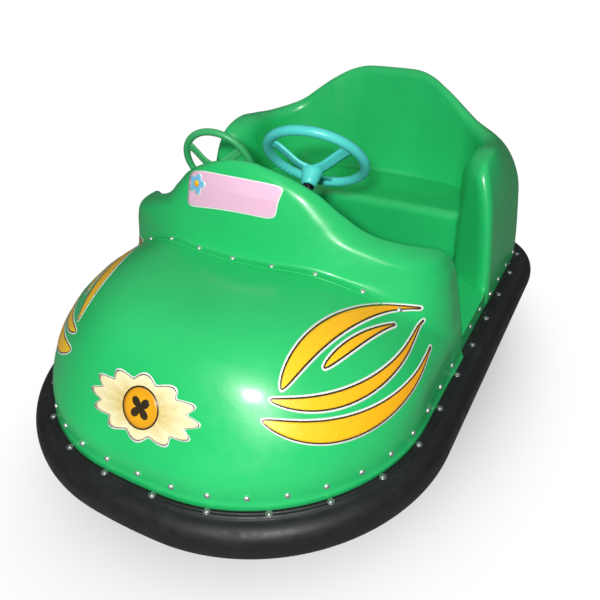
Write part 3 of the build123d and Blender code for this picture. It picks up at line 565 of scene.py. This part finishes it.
def steering_wheel(name, centre, elevation, size, material, nut, body):
    """Moulded wheel of radius `size`: a ring whose tube has finger grips at the lower left and
    right, three dished channel spokes that spread at both ends, and a tapered boss with a clamp
    nut under it. The grips are a cosine groove every 6.4 degrees on one side of the tube."""
    wheel = wheel_frame(centre, elevation)
    tube, dish, groove, pitch = 0.09 * size, 0.26 * size, 0.14, 6.4
    ring, a = np.linspace(0, 2 * pi, 288, endpoint=False), np.linspace(0, 2 * pi, 28, endpoint=False)
    degrees = np.degrees(ring)
    grips = sum(ramp(degrees, c - 21, c - 17) * (1 - ramp(degrees, c + 17, c + 21)) for c in (51, 152))
    depth = groove * grips * (0.5 + 0.5 * np.cos(degrees * 2 * pi / pitch))
    facing = 0.30 + 0.70 * np.clip(np.cos(a + 0.9), 0, 1)
    r = tube * (1 - depth[:, None] * facing)
    grids = [(placed(turned(size - tube + r * np.cos(a), r * np.sin(a), ring), wheel), True, True)]
    # spoke: a channel with raised, rounded edges, its section as shares of half width and rise
    w = np.array([-1, -1, -.96, -.86, -.72, -.60, -.50, 0, .50, .60, .72, .86, .96, 1, 1, .6, 0, -.6])
    h = np.array([-.3, .5, .86, 1, .92, .55, .22, .16, .22, .55, .92, 1, .86, .5, -.3, -.5, -.5, -.5])
    t = np.linspace(0, 1, 15)
    out = 0.10 * size + 0.80 * size * t
    rise = -dish + dish * ramp(t, 0.02, 1.0) * 0.95
    half = size * (0.108 + 0.030 * ramp(t, 0.75, 1.0) + 0.015 * (1 - ramp(t, 0.0, 0.25)))
    for turn in np.radians([90.0, 210.0, 330.0]):
        along = np.array([np.cos(turn), np.sin(turn), 0])
        beside = np.array([-np.sin(turn), np.cos(turn), 0])
        spoke = (out[:, None, None] * along + (half[:, None] * w)[..., None] * beside
                 + (rise[:, None] + 0.042 * size * h)[..., None] * np.array([0, 0, 1.0]))
        grids.append((placed(spoke, wheel), False, True))
    # boss: a cap above the spokes and a taper towards the column, as shares of the radius
    boss = size * np.array([
        (0, .060), (.060, .060), (.075, .050), (.080, .030), (.165, .022), (.190, .005),
        (.196, -.03), (.180, -.09), (.156, -.20), (.142, -.28), (.130, -.30), (.090, -.305)])
    spin = np.linspace(0, 2 * pi, 48, endpoint=False)
    grids.append((placed(turned(boss[:, 0], boss[:, 1] - dish, spin), wheel), True, False))
    obj = piece(name, grids, material, body, merge=1e-6)
    # nut: a hexagon with chamfered ends; a flat's distance over the cosine of the angle from
    # the flat's middle, times the first share, at the height of the second
    six = np.linspace(0, 2 * pi, 36, endpoint=False)
    flat = 0.09568 * size / np.cos(np.mod(six, pi / 3) - pi / 6)
    ends = np.array([(0.72, -.290), (1.0, -.300), (1.0, -.365), (0.86, -.378), (0.0, -.378)])
    hexagon = turned(flat[:, None] * ends[:, 0], size * ends[:, 1] - dish, six)
    piece(f"{name}_nut", [(placed(hexagon, wheel), True, False)], nut, body, merge=1e-6)
    return obj


# ---- materials
def mottle(tree, coords, scale, detail, low=0.0, high=1.0):
    """A noise value spread between two numbers; `scale` counts patches per metre."""
    noise = add(tree, "ShaderNodeTexNoise", {"Scale": scale, "Detail": detail}, {"Vector": coords})
    spread = {"From Min": 0.3, "From Max": 0.7, "To Min": low, "To Max": high}
    return add(tree, "ShaderNodeMapRange", spread, {"Value": noise.outputs[0]}).outputs[0]


def dressed(made, colours, share, rough, bump=None):
    """Feeds the shader of a new material: two colours blended by a share, a roughness and
    perhaps a bump. Inputs 0, 6 and 7 of a colour mix are its share and its two colours."""
    material, tree, shader = made
    first, second = (linear(code) for code in colours)
    blend = add(tree, "ShaderNodeMix", {"data_type": "RGBA", 6: first, 7: second}, {0: share})
    tree.links.new(blend.outputs[2], shader.inputs["Base Color"])
    tree.links.new(rough, shader.inputs["Roughness"])
    if bump:
        tree.links.new(bump.outputs[0], shader.inputs["Normal"])
    return material


def gel_coat(name, base, deep):
    """Polyester gel coat over glass fibre, laid up in a polished mould: an even glossy
    colour, faint orange peel 12 mm long, slow waves of 90 mm, and a sheen that handling has
    made uneven in patches of 26 mm."""
    made = _, tree, shader = finish_of(name, roughness=0.36, coat_weight=0.30, coat_roughness=0.14)
    shader.inputs["IOR"].default_value = 1.50
    coords = add(tree, "ShaderNodeTexCoord").outputs["Object"]
    wave, peel = mottle(tree, coords, 11.0, 1.0), mottle(tree, coords, 85.0, 2.0)
    bump = add(tree, "ShaderNodeBump", {"Strength": 0.10, "Distance": 0.0035}, {"Height": wave})
    fine = add(tree, "ShaderNodeBump", {"Strength": 0.10, "Distance": 0.0006},
               {"Height": peel, "Normal": bump.outputs[0]})
    sheen = mottle(tree, coords, 38.0, 6.0, 0.30, 0.42)
    return dressed(made, (base, deep), mottle(tree, coords, 5.0, 3.0), sheen, fine)


def rubber(name, base, dusty, rough):
    """Moulded natural rubber with carbon black: dark, softly shining, grey in level streaks
    2 mm high where it rubs. Its grain is drawn 2.4 mm wide, coarser than the real one."""
    made = _, tree, _ = finish_of(name, roughness=rough)
    coords = add(tree, "ShaderNodeTexCoord").outputs["Object"]
    streaks = add(tree, "ShaderNodeMapping", {"Scale": (3.0, 3.0, 60.0)}, {"Vector": coords})
    wear = add(tree, "ShaderNodeMath", {"operation": "MULTIPLY"},
               {0: mottle(tree, coords, 9.0, 6.0), 1: mottle(tree, streaks.outputs[0], 9.0, 5.0, 0.0, 0.8)})
    bump = add(tree, "ShaderNodeBump", {"Strength": 0.25, "Distance": 0.0006},
               {"Height": mottle(tree, coords, 420.0, 3.0)})
    sheen = mottle(tree, coords, 30.0, 5.0, rough - 0.12, rough + 0.12)
    return dressed(made, (base, dusty), wear.outputs[0], sheen, bump)


def metal(name, base, stained, rough, bumpy=0.1):
    """Bare or plated metal: even, with spots of stain 7 mm wide that are a little raised."""
    made = _, tree, _ = finish_of(name, metallic=1.0, roughness=rough)
    coords = add(tree, "ShaderNodeTexCoord").outputs["Object"]
    spots = mottle(tree, coords, 140.0, 5.0)
    bump = add(tree, "ShaderNodeBump", {"Strength": bumpy, "Distance": 0.0004}, {"Height": spots})
    sheen = mottle(tree, coords, 90.0, 4.0, rough - 0.08, rough + 0.1)
    return dressed(made, (base, stained), spots, sheen, bump)


def coated(name, base, worn, rough, ior=1.5, grain=260.0):
    """Paint or plastic: one colour that shifts a little over 42 mm, with a fine grain, drawn
    coarse enough to show: 4 mm unless `grain` counts other patches per metre."""
    made = _, tree, shader = finish_of(name, roughness=rough)
    shader.inputs["IOR"].default_value = ior
    coords = add(tree, "ShaderNodeTexCoord").outputs["Object"]
    bump = add(tree, "ShaderNodeBump", {"Strength": 0.15, "Distance": 0.0004},
               {"Height": mottle(tree, coords, grain, 2.0)})
    sheen = mottle(tree, coords, 60.0, 4.0, rough - 0.06, rough + 0.08)
    return dressed(made, (base, worn), mottle(tree, coords, 24.0, 4.0), sheen, bump)


# body: gel coat, which gives an even, deep gloss
GREEN = gel_coat("gel_coat_green", "#25C56D", "#20BC66")
# bumper and tyres: rubber pressed in a mould, black and half dull, on the tyres greyer
BLACK_RUBBER = rubber("moulded_rubber_black", "#0B0C0D", "#212426", 0.52)
TYRE_RUBBER = rubber("tyre_rubber", "#1B1B1C", "#44423F", 0.62)
# rivets: aluminium, pale and matt, and zinc plated steel, greyer
RIVET = metal("rivet_aluminium", "#F4F6F6", "#D9DDDC", 0.46)
RIVET_ZINC = metal("rivet_zinc", "#C3C6C7", "#93989A", 0.44)
# ground steel, bright; sand cast aluminium, dull and bumpy; blackened steel, dark with a sheen
STEEL = metal("bright_steel", "#B7BABC", "#8F9294", 0.32)
CAST = metal("cast_aluminium", "#A7A9AA", "#8A8C8D", 0.48, 0.3)
DARK_STEEL = metal("blackened_steel", "#3B3D3F", "#2A2B2C", 0.42)
# sprayed enamel on the frame and the motor, half gloss; the battery's moulded case, duller
PAINT = coated("chassis_paint_black", "#1D1F21", "#292A2B", 0.40)
MOTOR = coated("motor_enamel_grey", "#4A4F54", "#3F4448", 0.42)
CASE = coated("battery_case_polypropylene", "#202326", "#2A2D30", 0.50, 1.49, 600.0)
# steering wheels: injection moulded plastic, glossy and even
TURQUOISE = coated("wheel_plastic_turquoise", "#59DCD3", "#4FCFC8", 0.34, 1.49)
LEAF = coated("wheel_plastic_green", "#43B871", "#3BAC66", 0.38, 1.49)

# ---- pieces
skin = hood_skin(GREEN)
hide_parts("nose_shell", "cowl_shell")
tub = tub_skin(GREEN)
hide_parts("rear_tub")
bench = bench_skin(GREEN)
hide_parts("bench_seat")
ring = bumper_rubber(BLACK_RUBBER)
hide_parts("bumper_ring")

driver = steering_wheel("driver_steering_wheel", centre=(0.069, 0.007, 0.737), elevation=40.0,
                        size=0.144, material=TURQUOISE, nut=DARK_STEEL, body="driver_wheel")
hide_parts("driver_rim", "driver_spider")
passenger = steering_wheel("passenger_steering_wheel", centre=(-0.248, 0.004, 0.680), elevation=17.0,
                           size=0.110, material=LEAF, nut=DARK_STEEL, body="passenger_wheel")
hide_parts("passenger_rim", "passenger_spider")

# rivets round the body's foot; on the doorway's skirt they sit 6 mm farther in
plan, normal = row_along(-0.361, pitch=0.095)
door = (plan[:, 1] > DOOR_FRONT + 0.03) & (plan[:, 1] < DOOR_BACK)
door_inset, nose_inset, tub_inset = 0.0533, 0.0475, 0.0470
inset = np.where(door, door_inset, np.where(plan[:, 1] < 0, nose_inset, tub_inset))
spots = with_height(plan - inset[:, None] * normal, 0.270)
domes("body_rivets", spots, with_height(normal, 0.0), RIVET, 0.0074, 0.0040)
# rivets through washers in the rubber's upper strip, leaning out by 8 degrees
plan, normal = row_along(-0.367, pitch=0.144)
tilt = np.radians(8)
domes("rubber_rivets", with_height(plan - 0.034 * normal, 0.2378),
      with_height(normal * np.sin(tilt), np.cos(tilt)), RIVET_ZINC, 0.0056, 0.0032, washer=0.0084)

# the cowl's flange lies on the dome: rivets 108 mm apart across the car, with a nearer one at
# the left end, and a fine bead along the flange's edge
RIVET_LINE, BEAD_LINE = 0.013, 0.027       # how much farther than the cowl the dome reaches there
u = np.linspace(0.12, 0.88, 241)
line = hood(fold_rays(u, RIVET_LINE))
x = -0.003 + 0.108 * np.array([-3, -2, -1, 0, 1, 2, 3, 3.75])
here, normal = hood_normals(fold_rays(np.interp(x, line[:, 0], u), RIVET_LINE))
domes("seam_rivets", here, normal, RIVET, 0.0072, 0.0040)
u = np.linspace(0.15, 0.85, 301)
here, normal = hood_normals(fold_rays(u, BEAD_LINE))
beside = unit(np.cross(normal, np.gradient(here, axis=0)))
spin = np.linspace(0, 2 * pi, 10, endpoint=False)[None, :, None]
thick = (0.0002 + 0.0011 * ramp(u, 0.15, 0.25) * (1 - ramp(u, 0.75, 0.85)))[:, None, None]
bead = here[:, None] + thick * (1.8 * np.cos(spin) * beside[:, None] + np.sin(spin) * normal[:, None])
piece("flange_bead", [(bead, False, True)], GREEN, "chassis")


# ---- decals
FILM = 0.0003                              # how far a film lies above the one under it


def on_hood(flat, place, layer):
    """Lays flat shapes (x, y in metres) on the hood: from the decal's plane each point is
    moved along its ray onto the skin and lifted off it, layer 1 the least."""
    centre, across, up = (np.array(v) for v in place)
    rays = unit(centre + flat[..., :1] * across + flat[..., 1:] * up - HUB)
    here, normal = hood_normals(rays)
    return here + (0.0001 + layer * FILM) * normal


def blob(size, rim, rings, at=(0, 0)):
    """A disc whose rim is rim(angle) times size, as rings about its middle."""
    a = np.linspace(0, 2 * pi, 144, endpoint=False)
    r = np.linspace(0, 1, rings)[None, :] * rim(a)[:, None]
    return np.stack([at[0] + size[0] * r * np.cos(a)[:, None], at[1] + size[1] * r * np.sin(a)[:, None]], -1)


def swoosh(start, bend, end, width, grow):
    """A flame tongue: a quadratic curve of t from 0 to 1 whose half width goes with t to the
    0.7 times (1 - t) to the 1.3, so that it swells quickly and tapers slowly. It is made
    wider all round by `grow`, with round ends."""
    start, bend, end = (np.array(p) for p in (start, bend, end))
    extra = grow / np.linalg.norm(end - start)
    turn = np.linspace(-pi / 2, pi / 2, 64)
    t = 0.5 + (0.5 + extra) * np.sin(turn)
    inside = np.clip(t, 0, 1)
    curve = ((1 - t) ** 2)[:, None] * start + (2 * t * (1 - t))[:, None] * bend + (t ** 2)[:, None] * end
    along = unit(2 * (1 - t)[:, None] * (bend - start) + 2 * t[:, None] * (end - bend))
    half = (width * 2.6 * inside ** 0.7 * (1 - inside) ** 1.3
            + grow * np.sqrt(np.clip(1 - ((t - inside) / max(extra, 1e-9)) ** 2, 0, 1)))
    beside = np.stack([-along[:, 1], along[:, 0]], -1)
    return curve[:, None] + (half[:, None] * np.linspace(-1, 1, 9))[..., None] * beside[:, None]


def vinyl(name, near, far, axis=0):
    """Printed and laminated vinyl film: smooth, a little duller than the gel coat, its print
    running from one colour to another along one direction of its own UV."""
    made = _, tree, _ = finish_of(name, roughness=0.34, coat_weight=0.2, coat_roughness=0.2)
    coords = add(tree, "ShaderNodeTexCoord")
    place = add(tree, "ShaderNodeSeparateXYZ", {}, {0: coords.outputs["UV"]})
    grain = mottle(tree, coords.outputs["Object"], 180.0, 3.0, -0.12, 0.12)
    share = add(tree, "ShaderNodeMath", {"operation": "ADD", "use_clamp": True},
                {0: place.outputs[axis], 1: grain})
    sheen = mottle(tree, coords.outputs["Object"], 45.0, 4.0, 0.28, 0.42)
    return dressed(made, (near, far), share.outputs[0], sheen)


def decal(name, grids, material):
    """One film on the hood, from grids of points that each close round or not."""
    grids = [(points, closed, False) for points, closed in grids]
    return piece(name, grids, material, "chassis", about=HUB, merge=1e-5, wall=0.00015)


# printed films: white and dark borders, and warm, pink and blue prints that change evenly
WHITE = vinyl("vinyl_white", "#F2F4F1", "#E6EAE6")
INK = vinyl("vinyl_dark_outline", "#2C2515", "#3A2A14")
FLAME = vinyl("vinyl_yellow_to_orange", "#FFD61A", "#F59B12")
GOLD = vinyl("vinyl_gold_to_cream", "#C9A21C", "#F3EDC0", axis=1)
AMBER = vinyl("vinyl_amber", "#F2B61C", "#DE9A14", axis=1)
PINK = vinyl("vinyl_pink", "#F0C2DC", "#EAB8D4")
BLUE = vinyl("vinyl_blue", "#4FA6DC", "#8CCBEC", axis=1)

# flame tongues on both flanks of the nose: start, bend, end and width, in the flank's plane
TONGUES = (((-.245, -.030), (-.060, -.150), (.235, -.030), .034),
           ((-.205, .012), (-.02, -.075), (.245, .040), .020),
           ((-.170, .030), (-.020, .175), (.240, .078), .027),
           ((-.060, .045), (.040, .085), (.150, .064), .012))
# a decal's plane: its middle, its direction across and its direction up
FLANK_PLACE = ((.385, -.420, .440), (.480, .877, -.040), (-.573, .348, .743))
films = (("flame_border", .0080, WHITE), ("flame_outline", .0038, INK), ("flame", 0.0, FLAME))
for layer, (name, grow, material) in enumerate(films, 1):
    left = [on_hood(swoosh(*tongue, grow), FLANK_PLACE, layer) for tongue in TONGUES]
    decal(name, [(g, False) for g in left] + [(g * MIRROR, False) for g in left], material)


# a sunburst with a medallion on the front of the nose
def burst(a):
    """Rim of the sunburst: twelve rays, from the cosine of six times the angle."""
    return 0.80 + 0.20 * np.abs(np.cos(6 * a)) ** 1.5


def leaves(a):
    """Rim of the medallion's four leaves, from the sine of twice the angle."""
    return 0.35 + 0.65 * np.abs(np.sin(2 * a))


NOSE_PLACE = ((0.004, -.690, .405), (1, 0, 0.03), (0, .50, .866))
SUN_WIDE, SUN_HIGH = .150, .074
films = (("sunburst_border", .006, WHITE), ("sunburst_outline", .0022, INK), ("sunburst", 0.0, GOLD))
for layer, (name, grow, material) in enumerate(films, 1):
    shape = blob((SUN_WIDE + grow, SUN_HIGH + grow), burst, 15)
    decal(name, [(on_hood(shape, NOSE_PLACE, layer), True)], material)
films = (("medallion_ring", .050, np.ones_like, INK), ("medallion", .046, np.ones_like, AMBER),
         ("medallion_leaves", .030, leaves, INK))
for layer, (name, size, rim, material) in enumerate(films, 4):
    decal(name, [(on_hood(blob((size, size), rim, 8), NOSE_PLACE, layer), True)], material)

# a plate left blank on the cowl, with a flower at one end
PLATE_PLACE = ((0, -.262, 0), (1, 0, 0), (0, 0, 1))
PLATE_CORNERS = (((-.168, .672), (.098, .677)), ((-.180, .826), (.130, .808)))
PLATE_SAG = 0.026                          # keeps the top edge straight on the bulging cowl
FLOWER_AT = (-.74, .20)
UNIT_WIDE, UNIT_HIGH = .13, .052           # about what one unit of place spans on the skin


def on_plate(flat, layer):
    """Lays a shape on the plate, with places that run from -1 to 1 both ways: mixed evenly
    from the lower and upper corners in an upright plane, sunk towards the middle of the top
    edge with the square of the place across, and laid on the hood."""
    x, z = ((flat[..., k:k + 1] + 1) / 2 for k in (0, 1))
    low, high = (np.array(a) * (1 - x) + np.array(b) * x for a, b in PLATE_CORNERS)
    at = low * (1 - z) + high * z
    at[..., 1] -= PLATE_SAG * (1 - flat[..., 0] ** 2) * z[..., 0]
    return on_hood(at, PLATE_PLACE, layer)


def oblong(a):
    """Rim of the plate: nearly a rectangle, on a superellipse."""
    return 1 / (np.abs(np.cos(a)) ** 9 + np.abs(np.sin(a)) ** 7) ** (1 / 8)


def petals(a):
    """Rim of the flower: five petals, from the cosine of two and a half times the angle."""
    return 0.62 + 0.38 * np.abs(np.cos(2.5 * a))


films = (("plate_border", 1.0, 1.0, oblong, 30, (0, 0), WHITE),
         ("plate", .975, .93, oblong, 30, (0, 0), PINK),
         ("flower_border", .0320 / UNIT_WIDE, .0320 / UNIT_HIGH, petals, 9, FLOWER_AT, WHITE),
         ("flower", .0285 / UNIT_WIDE, .0285 / UNIT_HIGH, petals, 9, FLOWER_AT, BLUE),
         ("flower_eye", .009 / UNIT_WIDE, .009 / UNIT_HIGH, np.ones_like, 5, FLOWER_AT, FLAME))
for layer, (name, wide, high, rim, rings, at, material) in enumerate(films, 1):
    decal(name, [(on_plate(blob((wide, high), rim, rings, at), layer), True)], material)

# ---- finishes of the nodes that show as they are
MATERIALS = {
    GREEN: ("base_rim", "foot_well"),
    PAINT: ("chassis_hoop_nose", "chassis_hoop_left", "chassis_hoop_right", "chassis_hoop_tail",
            "chassis_rail_left", "chassis_rail_right", "cross_beam_rear", "cross_beam_seat",
            "cross_beam_toe", "front_bridge", "front_fork", "rear_bracket_left", "rear_bracket_right",
            "battery_tray", "steering_bar", "driver_bearing", "passenger_bearing", "pedal", "chain_case"),
    STEEL: ("front_axle", "rear_axle_left", "rear_axle_right", "driver_column", "passenger_column"),
    CAST: ("front_wheel_hub", "rear_wheel_left_hub", "rear_wheel_right_hub", "kingpin_housing",
           "steering_gearbox"),
    TYRE_RUBBER: ("front_wheel_tyre", "rear_wheel_left_tyre", "rear_wheel_right_tyre"),
    CASE: ("battery",),
    MOTOR: ("drive_motor",),
}
for material, names in MATERIALS.items():
    for name in names:
        nodes[name].data.materials.clear()
        nodes[name].data.materials.append(material)

# ---- camera, floor and light
scene = bpy.context.scene
CAMERA_AT = (0.891, -1.460, 1.376)
yaw, pitch, roll = 0.548, 0.570, -0.055    # radians to the left, down and anticlockwise
ahead = np.array([-np.sin(yaw) * np.cos(pitch), np.cos(yaw) * np.cos(pitch), -np.sin(pitch)])
right = np.array([np.cos(yaw), np.sin(yaw), 0])
up = np.cross(right, ahead)
level, rise = np.cos(roll) * right + np.sin(roll) * up, np.cos(roll) * up - np.sin(roll) * right
camera = bpy.data.objects.new("camera", bpy.data.cameras.new("camera"))
camera.data.lens, camera.data.sensor_width = 40.44, 36.0
columns = ((*level, 0), (*rise, 0), (*-ahead, 0), (*CAMERA_AT, 1))
camera.matrix_world = Matrix([[*row] for row in zip(*columns)])
scene.collection.objects.link(camera)
scene.camera = camera
scene.view_settings.view_transform = "Standard"


def area_light(name, place, size, power):
    """A soft square lamp that faces the middle of the car."""
    lamp = bpy.data.objects.new(name, bpy.data.lights.new(name, "AREA"))
    lamp.data.size, lamp.data.energy = size, power
    back = unit(np.array(place) - np.array([0, 0, 0.4]))
    x = unit(np.cross([0, 0, 1.0], back))
    columns = ((*x, 0), (*np.cross(back, x), 0), (*back, 0), (*place, 1))
    lamp.matrix_world = Matrix([[*row] for row in zip(*columns)])
    scene.collection.objects.link(lamp)


def camera_rays(tree):
    """1 for rays from the camera, straight or through glass, and 0 for all others."""
    path = add(tree, "ShaderNodeLightPath")
    return add(tree, "ShaderNodeMath", {"operation": "MAXIMUM"},
               {0: path.outputs["Is Camera Ray"], 1: path.outputs["Is Transmission Ray"]}).outputs[0]


area_light("flash_softbox", (1.42, -3.05, 2.36), 0.28, 133.0)

# a dim hall with a brighter ceiling; the camera sees plain white
world = bpy.data.worlds.new("studio")
scene.world = world
world.use_nodes = True
tree = world.node_tree
coords = add(tree, "ShaderNodeTexCoord").outputs["Generated"]
height = add(tree, "ShaderNodeSeparateXYZ", {}, {0: coords}).outputs[2]
spread = {"From Min": 0.0, "From Max": 1.0, "To Min": 0.04, "To Max": 0.42}
glow = add(tree, "ShaderNodeMapRange", spread, {"Value": height})
light = add(tree, "ShaderNodeMix", {"data_type": "FLOAT", 3: 1.0},
            {0: camera_rays(tree), 2: glow.outputs[0]})
tree.links.new(light.outputs[0], tree.nodes["Background"].inputs["Strength"])
tree.nodes["Background"].inputs["Color"].default_value = (1, 1, 1, 1)

# the floor is matt and pale; what the camera sees of it goes over to plain white away from
# the car's outline, so that the shadow under and beside the car is left
bpy.ops.mesh.primitive_plane_add(size=24)
floor = bpy.context.object
floor.name = "floor"
material, tree, shader = finish_of("pale_floor", roughness=0.9)
seen = camera_rays(tree)
shade = add(tree, "ShaderNodeMix", {"data_type": "RGBA", 6: linear("#8E8E8E"), 7: linear("#F2F2F2")},
            {0: seen})
tree.links.new(shade.outputs[2], shader.inputs["Base Color"])
coords = add(tree, "ShaderNodeTexCoord").outputs["Object"]
REACH_X, REACH_Y = 0.577, 0.822            # half the car's width and length
oval = add(tree, "ShaderNodeMapping", {"Scale": (1 / REACH_X, 1 / REACH_Y, 1.0)}, {"Vector": coords})
away = add(tree, "ShaderNodeVectorMath", {"operation": "LENGTH"}, {0: oval.outputs[0]})
spread = {"interpolation_type": "SMOOTHSTEP", "From Min": 0.75, "From Max": 1.45}
fade = add(tree, "ShaderNodeMapRange", spread, {"Value": away.outputs["Value"]})
share = add(tree, "ShaderNodeMath", {"operation": "MULTIPLY"}, {0: fade.outputs[0], 1: seen})
plain = add(tree, "ShaderNodeEmission", {"Color": (1, 1, 1, 1), "Strength": 1.0})
both = add(tree, "ShaderNodeMixShader", {}, {0: share.outputs[0], 1: shader.outputs[0], 2: plain.outputs[0]})
tree.links.new(both.outputs[0], tree.nodes["Material Output"].inputs["Surface"])
floor.data.materials.append(material)
